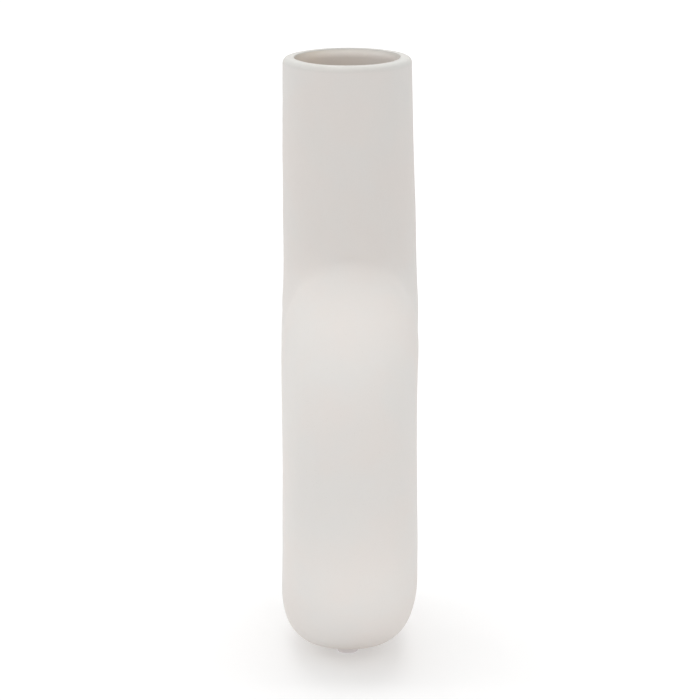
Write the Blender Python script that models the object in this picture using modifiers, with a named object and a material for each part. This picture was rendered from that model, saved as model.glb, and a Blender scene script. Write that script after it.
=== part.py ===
"""Ring-shaped ceramic bud vase on three clear stick-on bumpers.

The vase is one hollow ceramic casting. A round tube runs in a ring that stands on its edge,
and a straight neck of nearly the same width rises from the ring's top and is open at the lip.
The underside is pressed slightly flat, and carries the bumpers that the vase stands on.

Frame: metres, +Z up. The origin is on the table, under the middle of the vase. The ring lies
in the YZ plane, so that looking along +Y shows the vase edge-on.
"""

import math

import bmesh
import bpy
from mathutils import Vector

# Driving dimensions, in metres.
HEIGHT = 0.2540  # table to lip
RING_RADIUS = 0.0860  # centre of the ring to its outer edge
TUBE_WIDTH = 0.0553  # of the ring's tube, across the ring's plane
TUBE_DEPTH = 0.0566  # of the ring's tube, along the ring's radius
TUBE_SPREAD = 0.025  # extra share of width over and under the ring's hole
NECK_FOOT_RADIUS = 0.0285
NECK_LIP_RADIUS = 0.0271
FILLET_RADIUS = 0.0150  # where the neck runs into the ring, along the ring
WALL = 0.0049
LIP_ROUNDING = 0.0019
LIP_ROUNDING_STEPS = 3
SHARP_ANGLE = math.radians(60)  # edges sharper than this are rounded
BASE_FLAT_LENGTH = 0.050  # of the flattened underside, along the ring

# Stick-on bumper.
BUMPER_RADIUS = 0.00475
BUMPER_HEIGHT = 0.0032
BUMPER_TAPER = 0.0003  # how far the side leans in before its rounded edge
BUMPER_ROUNDING = 0.0014
BUMPER_ROUNDING_STEPS = 6
BUMPER_STRAIGHT = 0.0007  # of its side, next to the stuck face
BUMPER_GAP = 0.0003  # the adhesive film's place, left free between bumper and glaze
FRONT_BUMPER = (0.0, -0.0140)
REAR_BUMPER = (0.0090, 0.0140)

# Shape of the smooth surface.
SECTION_POWER = 2.35  # 2 is an ellipse, and more is squarer
SECTION_POINTS = 8
RING_POINTS = 16
NECK_LOOPS_UP = (0.43, 0.62, 0.84, 1.0)  # shares of the way from the ring's line to the lip
FILLET_TURN = math.radians(10)  # where on the fillet its loop of points lies
FILLET_SIDE_RISE = 0.0140  # of that loop above the ring's line, at the sides of the tube
SMOOTH_LEVELS = 2
FIT_ROUNDS = 12
BASE_SOFTNESS = 0.0008  # over which the round underside runs into the flat
BASE_REACH = 20  # softnesses above the flat, where its pull has died away
TURN_STEPS = 32  # around a bumper

# Worked out from the driving dimensions.
RING_LINE_RADIUS = RING_RADIUS - TUBE_DEPTH / 2
BASE_CUT = RING_RADIUS - math.sqrt(RING_RADIUS**2 - (BASE_FLAT_LENGTH / 2) ** 2)
BASE_Z = BUMPER_HEIGHT + BUMPER_GAP
RING_CENTRE_Z = BASE_Z + RING_RADIUS - BASE_CUT
RING_TOP_LINE_Z = RING_CENTRE_Z + RING_LINE_RADIUS
OPENED_FROM_Z = RING_TOP_LINE_Z - TUBE_DEPTH / 8  # ring faces above this make way for the neck
FILLET_REACH = NECK_FOOT_RADIUS + FILLET_RADIUS  # of the fillet's centre, from the neck's axis
FILLET_Z = RING_CENTRE_Z + math.sqrt((RING_RADIUS + FILLET_RADIUS) ** 2 - FILLET_REACH**2)

CERAMIC_COLOUR = (0.80, 0.775, 0.745, 1.0)
BUMPER_COLOUR = (0.72, 0.70, 0.69, 1.0)


def start_clean():
    """Removes whatever the scene holds and returns a collection for the vase."""
    for leftover in list(bpy.data.objects):
        bpy.data.objects.remove(leftover)
    collection = bpy.data.collections.new("ring_bud_vase")
    bpy.context.scene.collection.children.link(collection)
    return collection


def make_material(name, colour, roughness):
    """A plain Principled material; neither of the vase's materials is metal."""
    material = bpy.data.materials.new(name)
    material.use_nodes = True
    shader = material.node_tree.nodes["Principled BSDF"]
    shader.inputs["Base Color"].default_value = colour
    shader.inputs["Roughness"].default_value = roughness
    shader.inputs["Metallic"].default_value = 0.0
    return material


def add_object(name, mesh, material, collection):
    """Links a new object for the mesh, with its material."""
    made = bpy.data.objects.new(name, mesh)
    mesh.materials.append(material)
    collection.objects.link(made)
    return made


def section_point(turn):
    """(across, outward) of the tube's squarish round section, turn radians from its outer side."""
    across, outward = math.sin(turn), math.cos(turn)
    reach = (abs(across) ** SECTION_POWER + abs(outward) ** SECTION_POWER) ** (-1 / SECTION_POWER)
    return across * reach * TUBE_WIDTH / 2, outward * reach * TUBE_DEPTH / 2


def neck_radius(height):
    """The neck's outer radius at a height: it tapers evenly to the lip."""
    share = (height - RING_TOP_LINE_Z) / (HEIGHT - RING_TOP_LINE_Z)
    return NECK_FOOT_RADIUS + (NECK_LIP_RADIUS - NECK_FOOT_RADIUS) * share


def spin_ring(cage):
    """A ring of faces about the X axis, a little wider over and under the ring's hole."""
    section = []
    for index in range(SECTION_POINTS):
        across, outward = section_point(2 * math.pi * index / SECTION_POINTS)
        section.append(cage.verts.new((across, 0, -RING_LINE_RADIUS - outward)))
    edges = [cage.edges.new((section[i - 1], section[i])) for i in range(SECTION_POINTS)]
    bmesh.ops.spin(
        cage,
        geom=section + edges,
        axis=(1, 0, 0),
        cent=(0, 0, 0),
        angle=2 * math.pi,
        steps=RING_POINTS,
        use_merge=True,
    )
    for vert in cage.verts:
        vert.co.x *= 1 + TUBE_SPREAD * (vert.co.z / RING_LINE_RADIUS) ** 2
    bmesh.ops.translate(cage, verts=cage.verts, vec=(0, 0, RING_CENTRE_Z))


def open_ring_top(cage):
    """Removes the faces under the neck, settles the hole on the fillet and returns its edges."""
    nearest_step = RING_LINE_RADIUS * math.sin(2 * math.pi / RING_POINTS)
    under_neck = []
    for face in cage.faces:
        middle = face.calc_center_median()
        if middle.z > OPENED_FROM_Z and abs(middle.y) < nearest_step:
            under_neck.append(face)
    bmesh.ops.delete(cage, geom=under_neck, context="FACES")
    rim = [edge for edge in cage.edges if edge.is_boundary]
    for vert in {vert for edge in rim for vert in edge.verts}:
        if abs(vert.co.x) < WALL:
            inwards = FILLET_REACH - abs(vert.co.y)
            vert.co.z = FILLET_Z - math.sqrt(FILLET_RADIUS**2 - inwards**2)
    return rim


def draw_loop(cage, rim, place):
    """Draws the open rim on to a new loop of evenly spaced points, each put at place(turn)."""
    step = 2 * math.pi / len(rim)
    drawn = bmesh.ops.extrude_edge_only(cage, edges=rim)["geom"]
    rim = [item for item in drawn if isinstance(item, bmesh.types.BMEdge) and item.is_boundary]

    def turn_from_x(vert):
        return (math.atan2(vert.co.y, vert.co.x) + step / 4) % (2 * math.pi)

    in_order = sorted({vert for edge in rim for vert in edge.verts}, key=turn_from_x)
    for index, vert in enumerate(in_order):
        vert.co = place(step * index)
    return rim


def on_fillet(turn):
    """A point of the fillet's loop: on the fillet along the ring, and lower at the tube's sides."""
    along = math.sin(turn) ** 2
    low = RING_TOP_LINE_Z + FILLET_SIDE_RISE
    high = FILLET_Z - FILLET_RADIUS * math.sin(FILLET_TURN)
    height = low + (high - low) * along
    radius = neck_radius(height) + FILLET_RADIUS * (1 - math.cos(FILLET_TURN)) * along
    return Vector((radius * math.cos(turn), radius * math.sin(turn), height))


def raise_neck(cage, rim):
    """Draws the hole's rim up through the fillet and into the neck."""
    rim = draw_loop(cage, rim, on_fillet)
    for share in NECK_LOOPS_UP:
        height = RING_TOP_LINE_Z + share * (HEIGHT - RING_TOP_LINE_Z)
        radius = neck_radius(height)

        def on_neck(turn, radius=radius, height=height):
            return Vector((radius * math.cos(turn), radius * math.sin(turn), height))

        rim = draw_loop(cage, rim, on_neck)


def smoothed(obj):
    """The object's mesh with its modifiers, as a new mesh."""
    depsgraph = bpy.context.evaluated_depsgraph_get()
    return bpy.data.meshes.new_from_object(obj.evaluated_get(depsgraph))


def fit_cage(obj):
    """Moves the cage until the smooth surface passes through the points where the cage began."""
    wanted = [vert.co.copy() for vert in obj.data.vertices]
    for _ in range(FIT_ROUNDS):
        reached = smoothed(obj)
        for index, vert in enumerate(obj.data.vertices):
            vert.co += wanted[index] - reached.vertices[index].co
        bpy.data.meshes.remove(reached)


def press_base(mesh):
    """Presses the underside flat, with a soft change from round to flat."""
    for vert in mesh.vertices:
        depth = (vert.co.z - BASE_Z) / BASE_SOFTNESS
        if depth < BASE_REACH:
            vert.co.z = BASE_Z + BASE_SOFTNESS * math.log1p(math.exp(depth))


def make_body(collection, material):
    """The ceramic casting: one outer skin, thickened inwards and rounded at the lip."""
    cage = bmesh.new()
    spin_ring(cage)
    raise_neck(cage, open_ring_top(cage))
    bmesh.ops.recalc_face_normals(cage, faces=cage.faces)
    cage_mesh = bpy.data.meshes.new("vase_cage")
    cage.to_mesh(cage_mesh)
    cage.free()

    cage_object = bpy.data.objects.new("vase_cage", cage_mesh)
    collection.objects.link(cage_object)
    smooth = cage_object.modifiers.new("smooth", "SUBSURF")
    smooth.levels = smooth.render_levels = SMOOTH_LEVELS
    fit_cage(cage_object)
    skin = smoothed(cage_object)
    bpy.data.objects.remove(cage_object)
    press_base(skin)
    skin.name = "vase_body"

    body = add_object("vase_body", skin, material, collection)
    shell = body.modifiers.new("wall", "SOLIDIFY")
    shell.thickness = WALL
    shell.offset = -1
    shell.use_even_offset = True
    lip = body.modifiers.new("lip", "BEVEL")
    lip.width = LIP_ROUNDING
    lip.segments = LIP_ROUNDING_STEPS
    lip.limit_method = "ANGLE"
    lip.angle_limit = SHARP_ANGLE
    skin.shade_smooth()
    return body


def bumper_profile():
    """(radius, height) down a bumper's outer side, from its stuck face to the table."""
    foot_radius = BUMPER_RADIUS - BUMPER_TAPER - BUMPER_ROUNDING
    points = [(0, BUMPER_HEIGHT), (BUMPER_RADIUS, BUMPER_HEIGHT)]
    points.append((BUMPER_RADIUS, BUMPER_HEIGHT - BUMPER_STRAIGHT))
    for step in range(1, BUMPER_ROUNDING_STEPS + 1):
        turn = math.pi / 2 * step / BUMPER_ROUNDING_STEPS
        radius = foot_radius + BUMPER_ROUNDING * math.cos(turn)
        points.append((radius, BUMPER_ROUNDING * (1 - math.sin(turn))))
    points.append((0, 0))
    return points


def make_bumper_mesh():
    """The turned profile of one bumper, as a mesh of edges at +X."""
    profile = bmesh.new()
    verts = [profile.verts.new((radius, 0, height)) for radius, height in bumper_profile()]
    for upper, lower in zip(verts, verts[1:]):
        profile.edges.new((upper, lower))
    mesh = bpy.data.meshes.new("bumper")
    profile.to_mesh(mesh)
    profile.free()
    return mesh


def make_bumpers(collection, material):
    """One bumper near the front of the base and two side by side near its back."""
    mesh = make_bumper_mesh()
    mesh.materials.append(material)
    places = {
        "front_bumper": FRONT_BUMPER,
        "rear_left_bumper": (-REAR_BUMPER[0], REAR_BUMPER[1]),
        "rear_right_bumper": REAR_BUMPER,
    }
    for name, (x, y) in places.items():
        bumper = bpy.data.objects.new(name, mesh)
        collection.objects.link(bumper)
        bumper.location = (x, y, 0)
        turn = bumper.modifiers.new("turn", "SCREW")
        turn.axis = "Z"
        turn.steps = turn.render_steps = TURN_STEPS
        turn.use_merge_vertices = True
        turn.merge_threshold = 0.00001
        turn.use_smooth_shade = True


def main():
    collection = start_clean()
    ceramic = make_material("matte_ceramic", CERAMIC_COLOUR, 0.85)
    clear = make_material("clear_bumper", BUMPER_COLOUR, 0.35)
    make_body(collection, ceramic)
    make_bumpers(collection, clear)
    bpy.context.view_layer.update()


main()
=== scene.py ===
"""The looks of a ring-shaped ceramic bud vase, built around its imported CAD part.

Metres, +Z up. The ring lies in the YZ plane, so the camera sees the vase edge-on.
"""

import math

import bmesh
import bpy
import numpy as np
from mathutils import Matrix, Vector, noise


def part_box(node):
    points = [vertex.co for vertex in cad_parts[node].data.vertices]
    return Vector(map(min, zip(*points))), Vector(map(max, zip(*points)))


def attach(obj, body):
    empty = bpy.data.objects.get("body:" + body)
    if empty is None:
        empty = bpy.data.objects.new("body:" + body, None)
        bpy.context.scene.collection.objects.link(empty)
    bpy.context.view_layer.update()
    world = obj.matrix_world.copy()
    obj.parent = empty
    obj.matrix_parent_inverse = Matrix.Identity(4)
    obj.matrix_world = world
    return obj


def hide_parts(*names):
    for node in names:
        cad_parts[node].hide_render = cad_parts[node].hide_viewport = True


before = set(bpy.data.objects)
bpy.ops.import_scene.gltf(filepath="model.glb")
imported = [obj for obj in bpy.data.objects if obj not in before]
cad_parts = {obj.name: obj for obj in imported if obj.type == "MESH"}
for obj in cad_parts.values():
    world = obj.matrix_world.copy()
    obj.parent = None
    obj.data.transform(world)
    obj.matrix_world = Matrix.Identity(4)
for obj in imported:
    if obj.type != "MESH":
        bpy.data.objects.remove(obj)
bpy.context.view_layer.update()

# ---------------------------------------------------------------- dimensions, in metres
body_low, body_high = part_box("vase_body")
HEIGHT = body_high.z
BASE_Z = body_low.z
RING_RADIUS = body_high.y
TUBE_WIDTH = 0.0553
TUBE_DEPTH = 0.0566
TUBE_SPREAD = 0.025  # extra share of width over and under the ring's hole
NECK_FOOT_RADIUS = 0.0285
NECK_LIP_RADIUS = 0.0271
FILLET_RADIUS = 0.0230  # where the neck runs into the ring, along the ring
WALL = 0.0049
BASE_FLAT_LENGTH = 0.050
BASE_SOFTNESS = 0.0008
BASE_REACH = 20  # softnesses above the flat, where its pull has died away

RING_LINE_RADIUS = RING_RADIUS - TUBE_DEPTH / 2
BASE_CUT = RING_RADIUS - math.sqrt(RING_RADIUS**2 - (BASE_FLAT_LENGTH / 2) ** 2)
RING_CENTRE_Z = BASE_Z + RING_RADIUS - BASE_CUT
RING_TOP_LINE_Z = RING_CENTRE_Z + RING_LINE_RADIUS
OPENED_FROM_Z = RING_TOP_LINE_Z - TUBE_DEPTH / 8  # the ring's faces above this are opened
FILLET_REACH = NECK_FOOT_RADIUS + FILLET_RADIUS  # of the fillet's centre, from the neck's axis
FILLET_Z = RING_CENTRE_Z + math.sqrt((RING_RADIUS + FILLET_RADIUS) ** 2 - FILLET_REACH**2)

# The smooth surface.
SECTION_POWER = 2.35
SECTION_POINTS = 8
RING_POINTS = 16
IN_PLANE = 0.001  # a cage point closer than this to the YZ plane lies in it
NECK_LOOPS_UP = (0.36, 0.54, 0.80, 1.0)
FILLET_TURN = math.radians(20)  # where on the fillet its loop of points lies
FILLET_SIDE_RISE = 0.0140  # of that loop above the ring's line, at the sides of the tube
SMOOTH_LEVELS = 4
FIT_ROUNDS = 12

# The join of neck and ring is sponged smooth.
JOIN_Z = 0.169
JOIN_REACH = 0.022  # above and below it
JOIN_ROUNDS = 90
JOIN_SHARE = 0.9  # of the way to the middle of its neighbours, which a point moves each round

# The lip is rubbed round outside and left crisp inside, and flares a little on one side.
LIP_DROP = 0.0038  # from the lip down to where the plain wall ends
LIP_OUTER_ACROSS = 0.0021  # of the rounding outside, over the wall
LIP_OUTER_FALL = 0.0024  # of the same rounding, down the wall
LIP_INNER_ROUNDING = 0.0005
LIP_OUTER_STEPS = 12
LIP_TOP_STEPS = 4
LIP_INNER_STEPS = 4
LIP_DOWN_STEPS = 4
LIP_SWELL = 0.0003  # by which the wall is thicker at the lip
FLARE = 0.0019  # by which it is thinner there, where the mouth flares most
FLARE_TURN = math.radians(84)  # the direction of that, from the X axis

# Hand-finishing: the casting is not perfectly true.
BOWS = (  # each (sideways at its most, the height of that, reach below it, reach above it)
    (0.00130, 0.150, 0.024, 0.060),
    (0.00070, 0.039, 0.020, 0.050),
)
UNEVEN = ((0.00016, 38.0), (0.00006, 120.0))  # (height, waves per metre) of the outer skin
INNER_UNEVEN = ((0.00035, 45.0), (0.00012, 150.0))
LIP_WAVE = ((0.00020, 40.0),)
INNER_SEED = Vector((3.1, 1.7, 5.3))
LIP_SEED = Vector((9.2, 4.4, 0.8))

# Stick-on bumpers.
BUMPER_TURN_STEPS = 64
BUMPER_TAPER = 0.0003
BUMPER_ROUNDING = 0.0014
BUMPER_STEPS = 10
BUMPER_TOP_REACH = 0.98  # of the radius, where the top's edge begins
BUMPER_EDGE_RISE = 0.95  # of the height, where that edge ends
ADHESIVE = 0.00022  # thickness of the film between bumper and ceramic
ADHESIVE_INSET = 0.00035


# ---------------------------------------------------------------- small helpers
def link(name, mesh, *materials):
    """Links a new object for the mesh, with its materials."""
    made = bpy.data.objects.new(name, mesh)
    for material in materials:
        mesh.materials.append(material)
    bpy.context.scene.collection.objects.link(made)
    return made


def waves(point, layers, seed=Vector()):
    """The sum of layers of smooth noise, each (height, waves per metre), at a point."""
    return sum(height * noise.noise(point * rate + seed) for height, rate in layers)


# ---------------------------------------------------------------- the casting's outer skin
def section_point(turn):
    """(across, outward) of the tube's squarish round section, turn radians from its outer side."""
    across, outward = math.sin(turn), math.cos(turn)
    reach = (abs(across) ** SECTION_POWER + abs(outward) ** SECTION_POWER) ** (-1 / SECTION_POWER)
    return across * reach * TUBE_WIDTH / 2, outward * reach * TUBE_DEPTH / 2


def neck_radius(height):
    """The neck's outer radius at a height: it tapers evenly to the lip."""
    share = (height - RING_TOP_LINE_Z) / (HEIGHT - RING_TOP_LINE_Z)
    return NECK_FOOT_RADIUS + (NECK_LIP_RADIUS - NECK_FOOT_RADIUS) * share


def spin_ring(cage):
    """A ring of faces about the X axis, a little wider over and under the ring's hole."""
    section = []
    for index in range(SECTION_POINTS):
        across, outward = section_point(2 * math.pi * index / SECTION_POINTS)
        section.append(cage.verts.new((across, 0, -RING_LINE_RADIUS - outward)))
    edges = [cage.edges.new((section[i - 1], section[i])) for i in range(SECTION_POINTS)]
    bmesh.ops.spin(
        cage,
        geom=section + edges,
        axis=(1, 0, 0),
        cent=(0, 0, 0),
        angle=2 * math.pi,
        steps=RING_POINTS,
        use_merge=True,
    )
    for vert in cage.verts:
        vert.co.x *= 1 + TUBE_SPREAD * (vert.co.z / RING_LINE_RADIUS) ** 2
    bmesh.ops.translate(cage, verts=cage.verts, vec=(0, 0, RING_CENTRE_Z))


def open_ring_top(cage):
    """Removes the faces under the neck, settles the hole on the fillet and returns its edges."""
    nearest_step = RING_LINE_RADIUS * math.sin(2 * math.pi / RING_POINTS)
    under_neck = []
    for face in cage.faces:
        middle = face.calc_center_median()
        if middle.z > OPENED_FROM_Z and abs(middle.y) < nearest_step:
            under_neck.append(face)
    bmesh.ops.delete(cage, geom=under_neck, context="FACES")
    rim = [edge for edge in cage.edges if edge.is_boundary]
    for vert in {vert for edge in rim for vert in edge.verts}:
        if abs(vert.co.x) < IN_PLANE:
            inwards = FILLET_REACH - abs(vert.co.y)
            vert.co.z = FILLET_Z - math.sqrt(FILLET_RADIUS**2 - inwards**2)
    return rim


def draw_loop(cage, rim, place):
    """Draws the open rim on to a new loop of evenly spaced points, each put at place(turn)."""
    step = 2 * math.pi / len(rim)
    drawn = bmesh.ops.extrude_edge_only(cage, edges=rim)["geom"]
    rim = [item for item in drawn if isinstance(item, bmesh.types.BMEdge) and item.is_boundary]

    def turn_from_x(vert):
        """The point's turn from just before the X axis, so that a point on the axis is first."""
        return (math.atan2(vert.co.y, vert.co.x) + step / 4) % (2 * math.pi)

    in_order = sorted({vert for edge in rim for vert in edge.verts}, key=turn_from_x)
    for index, vert in enumerate(in_order):
        vert.co = place(step * index)
    return rim


def on_fillet(turn):
    """A point of the fillet's loop: on the fillet along the ring, and lower at the tube's sides."""
    along = math.sin(turn) ** 2
    low = RING_TOP_LINE_Z + FILLET_SIDE_RISE
    high = FILLET_Z - FILLET_RADIUS * math.sin(FILLET_TURN)
    height = low + (high - low) * along
    radius = neck_radius(height) + FILLET_RADIUS * (1 - math.cos(FILLET_TURN)) * along
    return Vector((radius * math.cos(turn), radius * math.sin(turn), height))


def raise_neck(cage, rim):
    """Draws the hole's rim up through the fillet and into the neck."""
    rim = draw_loop(cage, rim, on_fillet)
    for share in NECK_LOOPS_UP:
        height = RING_TOP_LINE_Z + share * (HEIGHT - LIP_DROP - RING_TOP_LINE_Z)
        radius = neck_radius(height)

        def on_neck(turn, radius=radius, height=height):
            return Vector((radius * math.cos(turn), radius * math.sin(turn), height))

        rim = draw_loop(cage, rim, on_neck)


def smoothed(obj):
    """The object's mesh with its modifiers, as a new mesh."""
    depsgraph = bpy.context.evaluated_depsgraph_get()
    return bpy.data.meshes.new_from_object(obj.evaluated_get(depsgraph))


def fit_cage(obj):
    """Moves the cage until the smooth surface passes through the points where the cage began."""
    wanted = [vert.co.copy() for vert in obj.data.vertices]
    for _ in range(FIT_ROUNDS):
        reached = smoothed(obj)
        for index, vert in enumerate(obj.data.vertices):
            vert.co += wanted[index] - reached.vertices[index].co
        bpy.data.meshes.remove(reached)


def sponge_join(skin):
    """Evens out the skin where the neck runs into the ring, most along the tube's outer side."""
    co = np.empty(len(skin.vertices) * 3)
    skin.vertices.foreach_get("co", co)
    co = co.reshape(-1, 3)
    edges = np.empty(len(skin.edges) * 2, dtype=np.int32)
    skin.edges.foreach_get("vertices", edges)
    edges = edges.reshape(-1, 2)
    near = np.clip(1 - ((co[:, 2] - JOIN_Z) / JOIN_REACH) ** 2, 0, 1)
    outer = np.clip(1 - (co[:, 0] / (TUBE_WIDTH / 2)) ** 2, 0, 1)
    share = JOIN_SHARE * near**2 * outer

    both_ways = np.concatenate((edges, edges[:, ::-1]))
    point, neighbour = both_ways[share[both_ways[:, 0]] > 0].T
    neighbours = np.maximum(np.bincount(point, minlength=len(co)), 1)
    for _ in range(JOIN_ROUNDS):
        for axis in range(3):
            total = np.bincount(point, weights=co[neighbour, axis], minlength=len(co))
            co[:, axis] += share * (total / neighbours - co[:, axis])
    skin.vertices.foreach_set("co", co.ravel())


def outer_skin():
    """The casting's smooth outer surface, open under the lip, as a mesh."""
    cage = bmesh.new()
    spin_ring(cage)
    raise_neck(cage, open_ring_top(cage))
    bmesh.ops.recalc_face_normals(cage, faces=cage.faces)
    cage_mesh = bpy.data.meshes.new("vase_cage")
    cage.to_mesh(cage_mesh)
    cage.free()
    cage_object = link("vase_cage", cage_mesh)
    smooth = cage_object.modifiers.new("smooth", "SUBSURF")
    smooth.levels = smooth.render_levels = SMOOTH_LEVELS
    fit_cage(cage_object)
    skin = smoothed(cage_object)
    bpy.data.objects.remove(cage_object)
    sponge_join(skin)
    return skin


# ---------------------------------------------------------------- the whole casting
OUTSIDE_SLOT, INSIDE_SLOT = 0, 1  # of the casting's two materials


def pressed(co):
    """A point after the underside is pressed flat, with a soft change from round to flat."""
    depth = (co.z - BASE_Z) / BASE_SOFTNESS
    if depth < BASE_REACH:
        co = Vector((co.x, co.y, BASE_Z + BASE_SOFTNESS * math.log1p(math.exp(depth))))
    return co


def bowed(co):
    """A point after the casting's slight sideways bows."""
    shift = 0.0
    for most, height, below, above in BOWS:
        reach = above if co.z > height else below
        shift += most * math.exp(-(((co.z - height) / reach) ** 2))
    return co + Vector((shift, 0, 0))


def lip_path(wall):
    """(distance inwards, height below the lip) over a lip of this thickness, outside to inside."""
    path = []
    crest = wall - LIP_INNER_ROUNDING
    for step in range(LIP_OUTER_STEPS + 1):
        turn = math.pi / 2 * step / LIP_OUTER_STEPS
        across = LIP_OUTER_ACROSS * (1 - math.cos(turn))
        path.append((across, LIP_OUTER_FALL * (1 - math.sin(turn))))
    for step in range(1, LIP_TOP_STEPS + 1):
        path.append((LIP_OUTER_ACROSS + (crest - LIP_OUTER_ACROSS) * step / LIP_TOP_STEPS, 0.0))
    for step in range(1, LIP_INNER_STEPS + 1):
        turn = math.pi / 2 * step / LIP_INNER_STEPS
        across = crest + LIP_INNER_ROUNDING * math.sin(turn)
        path.append((across, LIP_INNER_ROUNDING * (1 - math.cos(turn))))
    for step in range(1, LIP_DOWN_STEPS):
        share = step / LIP_DOWN_STEPS
        across = wall + (WALL - wall) * (1 - (1 - share) ** 2)
        path.append((across, LIP_INNER_ROUNDING + (LIP_DROP - LIP_INNER_ROUNDING) * share))
    return path


def lip_wall(co):
    """The wall's thickness at the lip, which is thinner where the mouth flares."""
    towards = max(0.0, math.cos(math.atan2(co.y, co.x) - FLARE_TURN))
    return WALL + LIP_SWELL - FLARE * towards


def ordered_rim(shell):
    """The open edge's vertices in order round the neck."""
    rim = {vert for edge in shell.edges if edge.is_boundary for vert in edge.verts}
    return sorted(rim, key=lambda vert: math.atan2(vert.co.y, vert.co.x))


def double_skin(shell):
    """Adds the inner skin, one uneven wall inside the outer one. Returns each point's twin on it."""
    shell.normal_update()
    outer = [(vert, vert.co.copy(), vert.normal.copy()) for vert in shell.verts]
    outer_faces = list(shell.faces)
    twins = {}
    for vert, co, normal in outer:
        twins[vert] = shell.verts.new(co - normal * (WALL + waves(co, INNER_UNEVEN, INNER_SEED)))
    for face in outer_faces:
        inner = shell.faces.new([twins[vert] for vert in reversed(face.verts)])
        inner.material_index = INSIDE_SLOT
    for vert, co, normal in outer:
        vert.co = co + normal * waves(co, UNEVEN)
    return twins


def close_lip(shell, rim, twins):
    """Joins the two skins along the rim, by strips of faces over the lip."""
    strips = []
    for vert in rim:
        strip = [vert]
        for across, drop in lip_path(lip_wall(vert.co)):
            place = vert.co.lerp(twins[vert].co, across / WALL)
            lift = waves(place, LIP_WAVE, LIP_SEED)
            strip.append(shell.verts.new((place.x, place.y, HEIGHT - drop + lift)))
        strips.append(strip + [twins[vert]])
    for index in range(len(strips)):
        before, after = strips[index - 1], strips[index]
        for step in range(len(after) - 1):
            corners = (before[step], after[step], after[step + 1], before[step + 1])
            inside = step + 1 >= len(after) - LIP_DOWN_STEPS
            shell.faces.new(corners).material_index = INSIDE_SLOT if inside else OUTSIDE_SLOT


def make_casting(outside, inside):
    """The whole casting: outer skin, inner skin one wall inside it, and the lip between them."""
    skin = outer_skin()
    shell = bmesh.new()
    shell.from_mesh(skin)
    for vert in shell.verts:
        vert.co = pressed(vert.co)
    rim = ordered_rim(shell)
    close_lip(shell, rim, double_skin(shell))
    for vert in shell.verts:
        vert.co = bowed(vert.co)
    bmesh.ops.recalc_face_normals(shell, faces=shell.faces)
    shell.to_mesh(skin)
    shell.free()
    skin.name = "ceramic_casting"
    skin.shade_smooth()
    casting = link("ceramic_casting", skin, outside, inside)
    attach(casting, "root")
    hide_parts("vase_body")


# ---------------------------------------------------------------- the bumpers
def turned(name, profile, material):
    """A closed solid turned about the Z axis from (radius, height) pairs that start and end at 0."""
    made = bmesh.new()
    loops = []
    for radius, height in profile:
        loop = []
        steps = BUMPER_TURN_STEPS if radius > 0 else 1
        for index in range(steps):
            turn = 2 * math.pi * index / steps
            loop.append(made.verts.new((radius * math.cos(turn), radius * math.sin(turn), height)))
        loops.append(loop)
    for upper, lower in zip(loops, loops[1:]):
        for index in range(BUMPER_TURN_STEPS):
            corners = [lower[index], lower[index - 1]] if len(lower) > 1 else list(lower)
            corners += [upper[index - 1], upper[index]] if len(upper) > 1 else upper
            made.faces.new(corners)
    bmesh.ops.recalc_face_normals(made, faces=made.faces)
    mesh = bpy.data.meshes.new(name)
    made.to_mesh(mesh)
    made.free()
    mesh.shade_smooth()
    return link(name, mesh, material)


def bumper_profile(radius, height):
    """(radius, height) down a bumper: a slightly leaning side, and a round edge above its foot."""
    foot = radius - BUMPER_TAPER - BUMPER_ROUNDING
    points = [(0, height), (radius * BUMPER_TOP_REACH, height), (radius, height * BUMPER_EDGE_RISE)]
    for step in range(BUMPER_STEPS + 1):
        turn = math.pi / 2 * step / BUMPER_STEPS
        across = foot + BUMPER_ROUNDING * math.cos(turn)
        points.append((across, BUMPER_ROUNDING * (1 - math.sin(turn))))
    points.append((0, 0))
    return points


def make_bumpers(clear, glue):
    """Each CAD bumper again as a domed clear one, with its adhesive film above it."""
    for node in ("front_bumper", "rear_left_bumper", "rear_right_bumper"):
        low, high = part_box(node)
        middle = (low + high) / 2
        radius, height = (high.x - low.x) / 2, high.z - low.z
        dome = turned(node.replace("bumper", "dome"), bumper_profile(radius, height), clear)
        dome.location = (middle.x, middle.y, low.z)
        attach(dome, "root")
        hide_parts(node)
        film_radius = radius - ADHESIVE_INSET
        film_profile = [(0, ADHESIVE), (film_radius, ADHESIVE), (film_radius, 0), (0, 0)]
        film = turned(node.replace("bumper", "adhesive"), film_profile, glue)
        film.location = (middle.x, middle.y, high.z)
        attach(film, "root")


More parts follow.
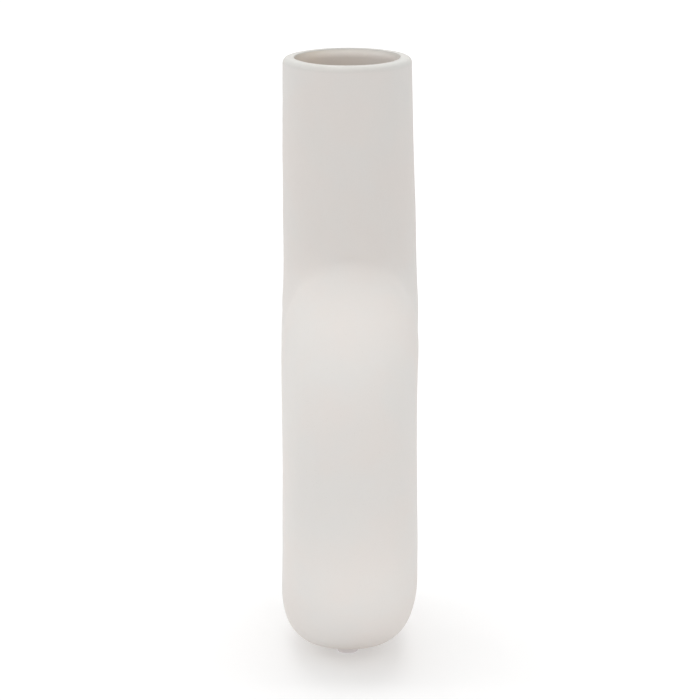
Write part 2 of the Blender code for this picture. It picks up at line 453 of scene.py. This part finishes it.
# ---------------------------------------------------------------- node trees
class Nodes:
    """Short calls for building one material's node tree."""

    def __init__(self, name):
        self.material = bpy.data.materials.new(name)
        self.material.use_nodes = True
        self.tree = self.material.node_tree
        self.shader = self.tree.nodes["Principled BSDF"]
        self.place = self.tree.nodes.new("ShaderNodeTexCoord").outputs["Object"]

    def wire(self, value, socket):
        """Links an output to a socket, or sets the socket's own value."""
        if isinstance(value, bpy.types.NodeSocket):
            self.tree.links.new(value, socket)
        else:
            socket.default_value = value

    def set(self, **values):
        """Sets the shader's own values, each named for its socket with _ for a space."""
        for name, value in values.items():
            self.wire(value, self.shader.inputs[name.replace("_", " ")])

    def noise(self, rate, detail=2.0, roughness=0.5):
        """Noise from 0 to 1, rate waves per metre."""
        node = self.tree.nodes.new("ShaderNodeTexNoise")
        self.wire(self.place, node.inputs["Vector"])
        node.inputs["Scale"].default_value = rate
        node.inputs["Detail"].default_value = detail
        node.inputs["Roughness"].default_value = roughness
        return node.outputs["Fac"]

    def cells(self, rate):
        """The distance to the nearest of scattered points, rate cells per metre."""
        node = self.tree.nodes.new("ShaderNodeTexVoronoi")
        self.wire(self.place, node.inputs["Vector"])
        node.inputs["Scale"].default_value = rate
        return node.outputs["Distance"]

    def ramp(self, value, span, levels=(0.0, 1.0)):
        """Turns the value's span into the levels, smoothly, and stays there outside it."""
        node = self.tree.nodes.new("ShaderNodeMapRange")
        node.interpolation_type = "SMOOTHSTEP"
        names = ("Value", "From Min", "From Max", "To Min", "To Max")
        for name, item in zip(names, (value, *span, *levels)):
            self.wire(item, node.inputs[name])
        return node.outputs["Result"]

    def combine(self, operation, first, second):
        """One sum or product of two numbers."""
        node = self.tree.nodes.new("ShaderNodeMath")
        node.operation = operation
        self.wire(first, node.inputs[0])
        self.wire(second, node.inputs[1])
        return node.outputs["Value"]

    def mix(self, share, first, second, how="MIX"):
        """The first colour, with a share of the second mixed in."""
        node = self.tree.nodes.new("ShaderNodeMix")
        node.data_type = "RGBA"
        node.blend_type = how
        for name, item in zip(("Factor_Float", "A_Color", "B_Color"), (share, first, second)):
            self.wire(item, next(s for s in node.inputs if s.identifier == name))
        return next(s for s in node.outputs if s.identifier == "Result_Color")

    def tint(self, share, colour, tint):
        """The colour, multiplied by the tint as far as share says."""
        return self.mix(share, colour, self.mix(1.0, colour, tint, "MULTIPLY"))

    def distance(self, point, stretch):
        """Distance from a point, with each axis stretched by its own amount."""
        shift = self.tree.nodes.new("ShaderNodeVectorMath")
        shift.operation = "SUBTRACT"
        self.wire(self.place, shift.inputs[0])
        shift.inputs[1].default_value = point
        scale = self.tree.nodes.new("ShaderNodeVectorMath")
        scale.operation = "MULTIPLY"
        self.wire(shift.outputs[0], scale.inputs[0])
        scale.inputs[1].default_value = stretch
        length = self.tree.nodes.new("ShaderNodeVectorMath")
        length.operation = "LENGTH"
        self.wire(scale.outputs[0], length.inputs[0])
        return length.outputs["Value"]

    def bump(self, height, distance, strength, after=None):
        """A bumpy normal, on top of another one if there is one."""
        node = self.tree.nodes.new("ShaderNodeBump")
        node.inputs["Strength"].default_value = strength
        node.inputs["Distance"].default_value = distance
        self.wire(height, node.inputs["Height"])
        if after is not None:
            self.wire(after, node.inputs["Normal"])
        return node.outputs["Normal"]


# ---------------------------------------------------------------- unglazed ceramic
# A noise is (waves per metre, detail, roughness), and a span the part of it that a ramp uses.
ORIGIN = (0.0, 0.0, 0.0)
ALONG_X = (1.0, 0.0, 0.0)
ALONG_Z = (0.0, 0.0, 1.0)

CLAY = (0.800, 0.768, 0.735, 1.0)
CLAY_COOL = (0.790, 0.768, 0.742, 1.0)
CLAY_WARM = (0.806, 0.762, 0.728, 1.0)
# Painted warm reflected light and shade: the inside's copy of the clay is warmer, and warmest on the
# mouth's left.
INSIDE = (0.825, 0.765, 0.710, 1.0)
INSIDE_COOL = (0.850, 0.803, 0.765, 1.0)
INSIDE_PAINTED_WARM = (0.850, 0.768, 0.680, 1.0)
DRIFT_NOISE, DRIFT_SPAN = (28.0, 3.0), (0.35, 0.65)
PAINTED_LIGHT_SIDE_SPAN = (0.006, 0.046)  # distances from the mouth's left inner wall, where warm light is painted
PAINTED_LIGHT_SIDE_EXTRA = 0.5
HAZE_NOISE, HAZE_SPAN, HAZE_MOST = (95.0, 4.0, 0.6), (0.40, 0.75), 0.45

RING_PAINTED_LIGHT = (1.03, 1.03, 1.03, 1.0)  # painted light: the ring is painted paler and the neck darker, for the light that comes up from the floor
NECK_PAINTED_SHADE = (0.962, 0.962, 0.962, 1.0)
PAINTED_LIGHT_SPAN = (0.10, 0.20)  # heights
# Painted shade: the lower part is painted darker towards the floor.
BASE_PAINTED_SHADE = (0.935, 0.930, 0.930, 1.0)
BASE_SHADE_SPAN = (0.008, 0.050)
LIP_PAINTED_SHADE = (0.905, 0.925, 0.920, 1.0)  # painted shade: the lip's top is painted a little darker
LIP_SHADE_SPAN = (HEIGHT - 0.0032, HEIGHT - 0.0006)
# Painted shade: the foot is painted a brownish grey where it nears the floor.
FOOT_PAINTED_SHADE, FOOT_SHADE_MOST = (0.715, 0.660, 0.610, 1.0), 0.60
FOOT_SHADE_SPAN = (0.004, 0.013)

GRAIN_DARK, GRAIN_MOST = (0.700, 0.660, 0.620, 1.0), 0.34
GRAIN_RATE, GRAIN_SPAN = 1350.0, (0.10, 0.34)
GRAIN_NOISE, GRAIN_CHOSEN = (700.0, 1.0), (0.56, 0.66)
SMUDGE, SMUDGE_MOST = (0.760, 0.725, 0.700, 1.0), 0.55
SMUDGE_AT = (0.016, -0.0225, 0.2145)
SMUDGE_STRETCH = (1.0, 0.6, 1.0)
SMUDGE_SPAN = (0.001, 0.0095)  # distances from there
SMUDGE_NOISE, SMUDGE_PATCHES, SMUDGE_LEAST = (260.0, 3.0), (0.35, 0.62), 0.2

OUTER_ROUGHNESS, INNER_ROUGHNESS = 0.86, 0.80
ROUGH_NOISE, ROUGH_SPAN, ROUGH_CHANGE = (420.0, 3.0), (0.3, 0.7), 0.05
CERAMIC_SPECULAR = 0.35
SAND_NOISE, SAND_HEIGHT, SAND_STRENGTH = (2600.0, 3.0, 0.6), 0.00006, 0.55
ROLL_NOISE, ROLL_HEIGHT, ROLL_STRENGTH = (420.0, 3.0, 0.55), 0.00012, 0.35


def drifting_clay(n, clay, cool, warm, painted_light_side):
    """The clay's colour, slowly drifting from cool to warm; with a painted-light side, the warm
    drift stays near it as painted warm light.
    """
    drift = n.ramp(n.noise(*DRIFT_NOISE), DRIFT_SPAN)
    if painted_light_side is not None:
        nearness = n.ramp(n.distance((painted_light_side, 0, 0), ALONG_X), PAINTED_LIGHT_SIDE_SPAN, (1.0, 0.0))
        drift = n.combine("MULTIPLY", nearness, n.combine("ADD", drift, PAINTED_LIGHT_SIDE_EXTRA))
    haze = n.ramp(n.noise(*HAZE_NOISE), HAZE_SPAN, (0.0, HAZE_MOST))
    return n.mix(haze, n.mix(drift, cool, warm), clay)


def fired(n, colour):
    """The changes with height, all painted light and shade: a paler ring under a darker neck, and
    painted shade on the base, the lip's top and the foot.
    """
    up = n.distance(ORIGIN, ALONG_Z)
    colour = n.mix(1.0, colour, n.mix(n.ramp(up, PAINTED_LIGHT_SPAN), RING_PAINTED_LIGHT, NECK_PAINTED_SHADE), "MULTIPLY")
    colour = n.tint(n.ramp(up, BASE_SHADE_SPAN, (1.0, 0.0)), colour, BASE_PAINTED_SHADE)
    colour = n.tint(n.ramp(up, LIP_SHADE_SPAN), colour, LIP_PAINTED_SHADE)
    return n.mix(n.ramp(up, FOOT_SHADE_SPAN, (FOOT_SHADE_MOST, 0.0)), colour, FOOT_PAINTED_SHADE)


def grained(n, colour):
    """Fine dark grains, in some places and not in others."""
    chosen = n.ramp(n.noise(*GRAIN_NOISE), GRAIN_CHOSEN)
    grains = n.ramp(n.cells(GRAIN_RATE), GRAIN_SPAN, (GRAIN_MOST, 0.0))
    return n.mix(n.combine("MULTIPLY", grains, chosen), colour, GRAIN_DARK)


def smudged(n, colour):
    """One faint, patchy smudge on the neck."""
    smudge = n.ramp(n.distance(SMUDGE_AT, SMUDGE_STRETCH), SMUDGE_SPAN, (SMUDGE_MOST, 0.0))
    patches = n.ramp(n.noise(*SMUDGE_NOISE), SMUDGE_PATCHES, (SMUDGE_LEAST, 1.0))
    return n.mix(n.combine("MULTIPLY", smudge, patches), colour, SMUDGE)


def ceramic_material(name, roughness, clay, cool, warm, painted_light_side=None):
    """Unglazed bisque: slow warm and cool drift, fine dark grains and a sandy surface."""
    n = Nodes(name)
    colour = smudged(n, grained(n, fired(n, drifting_clay(n, clay, cool, warm, painted_light_side))))
    rough = (roughness - ROUGH_CHANGE, roughness + ROUGH_CHANGE)
    sand = n.bump(n.noise(*SAND_NOISE), SAND_HEIGHT, SAND_STRENGTH)
    n.set(
        Base_Color=colour,
        Roughness=n.ramp(n.noise(*ROUGH_NOISE), ROUGH_SPAN, rough),
        Specular_IOR_Level=CERAMIC_SPECULAR,
        Normal=n.bump(n.noise(*ROLL_NOISE), ROLL_HEIGHT, ROLL_STRENGTH, sand),
    )
    return n.material


# ---------------------------------------------------------------- the bumpers' materials
CLEAR = ((0.95, 0.90, 0.90, 1.0), (0.98, 0.93, 0.93, 1.0))
CLEAR_NOISE = (500.0,)
CLEAR_TRANSMISSION = 0.10
CLEAR_IOR = 1.49
CLEAR_ROUGH_NOISE, CLEAR_ROUGH_SPAN, CLEAR_ROUGHNESS = (900.0, 2.0), (0.3, 0.7), (0.10, 0.20)
CLEAR_BUMP_NOISE, CLEAR_BUMP_HEIGHT, CLEAR_BUMP_STRENGTH = (800.0, 2.0), 0.00003, 0.3
GLUE = ((0.62, 0.59, 0.57, 1.0), (0.70, 0.67, 0.65, 1.0))
GLUE_NOISE = (1500.0, 2.0)
GLUE_ROUGHNESS = 0.5


def bumper_material():
    """Clear soft polyurethane with a slight haze."""
    n = Nodes("clear_polyurethane")
    n.set(
        Base_Color=n.mix(n.noise(*CLEAR_NOISE), *CLEAR),
        Transmission_Weight=CLEAR_TRANSMISSION,
        IOR=CLEAR_IOR,
        Roughness=n.ramp(n.noise(*CLEAR_ROUGH_NOISE), CLEAR_ROUGH_SPAN, CLEAR_ROUGHNESS),
        Normal=n.bump(n.noise(*CLEAR_BUMP_NOISE), CLEAR_BUMP_HEIGHT, CLEAR_BUMP_STRENGTH),
    )
    return n.material


def glue_material():
    """Acrylic adhesive: a cloudy film."""
    n = Nodes("acrylic_adhesive")
    n.set(Base_Color=n.mix(n.noise(*GLUE_NOISE), *GLUE), Roughness=GLUE_ROUGHNESS)
    return n.material


# ---------------------------------------------------------------- stage, light and camera
FLOOR_SIDE = 14.0
FLOOR_CELLS = 4
FLOOR_PALE = 0.74
FLOOR_MOTTLE = 0.01
FLOOR_NOISE = (3.0,)
FLOOR_ROUGHNESS = 0.9
FLOOR_GLOW = 0.29  # under and round the vase
FAR_GLOW = 0.56  # well behind the vase, where the overhead light no longer reaches
GLOW_CENTRE = (0.0, 2.6, 0.0)
GLOW_STRETCH = (0.8, 1.0, 0.0)
GLOW_SPAN = (0.8, 2.3)  # distances from that centre between which the glow fades
WHITE = (1.0, 1.0, 1.0, 1.0)
WORLD_LIGHT = 0.59
LIGHTS = {  # name: (place, size, watts)
    "overhead": ((0.0, 0.0, 1.60), 1.2, 10.4),
    "upper_left": ((-1.10, 0.0, 1.25), 0.9, 1.3),
    "back_left": ((-1.15, 1.15, 0.55), 0.9, 3.0),
    "back_right": ((1.15, 1.15, 0.55), 0.9, 2.1),
    "front": ((0.0, -1.70, 0.95), 0.6, 1.3),
}
VIEW_DISTANCE = 2.2
VIEW_AZIMUTH = math.radians(-1.1)
VIEW_ELEVATION = math.radians(12.3)
VIEW_TARGET = Vector((0.0012, 0.0, 0.1284))
LENS = 267.0


def floor_material():
    """Plain white paper, which glows a little so that it photographs as pure white."""
    n = Nodes("white_sweep")
    dark, pale = ((FLOOR_PALE + change,) * 3 + (1.0,) for change in (-FLOOR_MOTTLE, FLOOR_MOTTLE))
    away = n.distance(GLOW_CENTRE, GLOW_STRETCH)
    n.set(
        Base_Color=n.mix(n.noise(*FLOOR_NOISE), dark, pale),
        Roughness=FLOOR_ROUGHNESS,
        Emission_Color=WHITE,
        Emission_Strength=n.ramp(away, GLOW_SPAN, (FAR_GLOW, FLOOR_GLOW)),
    )
    return n.material


def make_floor():
    """A plain floor under the vase and far behind it."""
    grid = bmesh.new()
    bmesh.ops.create_grid(grid, x_segments=FLOOR_CELLS, y_segments=FLOOR_CELLS, size=FLOOR_SIDE / 2)
    mesh = bpy.data.meshes.new("floor")
    grid.to_mesh(mesh)
    grid.free()
    link("floor", mesh, floor_material())


def make_lights():
    """Square soft lights, all aimed at the vase's middle, in an even white studio."""
    scene = bpy.context.scene
    aim = Vector((0, 0, HEIGHT / 2))
    for name, (place, size, watts) in LIGHTS.items():
        data = bpy.data.lights.new(name, "AREA")
        data.shape = "SQUARE"
        data.size = size
        data.energy = watts
        lamp = bpy.data.objects.new(name, data)
        scene.collection.objects.link(lamp)
        lamp.location = place
        lamp.rotation_euler = (aim - Vector(place)).to_track_quat("-Z", "Y").to_euler()
    world = bpy.data.worlds.new("white_studio")
    world.use_nodes = True
    backdrop = world.node_tree.nodes["Background"]
    backdrop.inputs["Color"].default_value = WHITE
    backdrop.inputs["Strength"].default_value = WORLD_LIGHT
    scene.world = world
    scene.view_settings.view_transform = "Standard"
    scene.view_settings.look = "None"


def make_camera():
    """A long lens, a little above the vase and edge-on to its ring."""
    scene = bpy.context.scene
    flat = math.cos(VIEW_ELEVATION)
    back = Vector((
        math.sin(VIEW_AZIMUTH) * flat,
        -math.cos(VIEW_AZIMUTH) * flat,
        math.sin(VIEW_ELEVATION),
    ))
    data = bpy.data.cameras.new("camera")
    data.lens = LENS
    camera = bpy.data.objects.new("camera", data)
    scene.collection.objects.link(camera)
    camera.location = VIEW_TARGET + back * VIEW_DISTANCE
    camera.rotation_euler = (-back).to_track_quat("-Z", "Y").to_euler()
    scene.camera = camera


def main():
    """Makes everything."""
    outside = ceramic_material("matte_ceramic", OUTER_ROUGHNESS, CLAY, CLAY_COOL, CLAY_WARM)
    # The inside copy, with painted warm reflected light on the mouth's left inner wall.
    inside = ceramic_material(
        "matte_ceramic_inside_painted_warm_light", INNER_ROUGHNESS, INSIDE, INSIDE_COOL, INSIDE_PAINTED_WARM, -NECK_LIP_RADIUS
    )
    make_casting(outside, inside)
    make_bumpers(bumper_material(), glue_material())
    make_floor()
    make_lights()
    make_camera()


main()
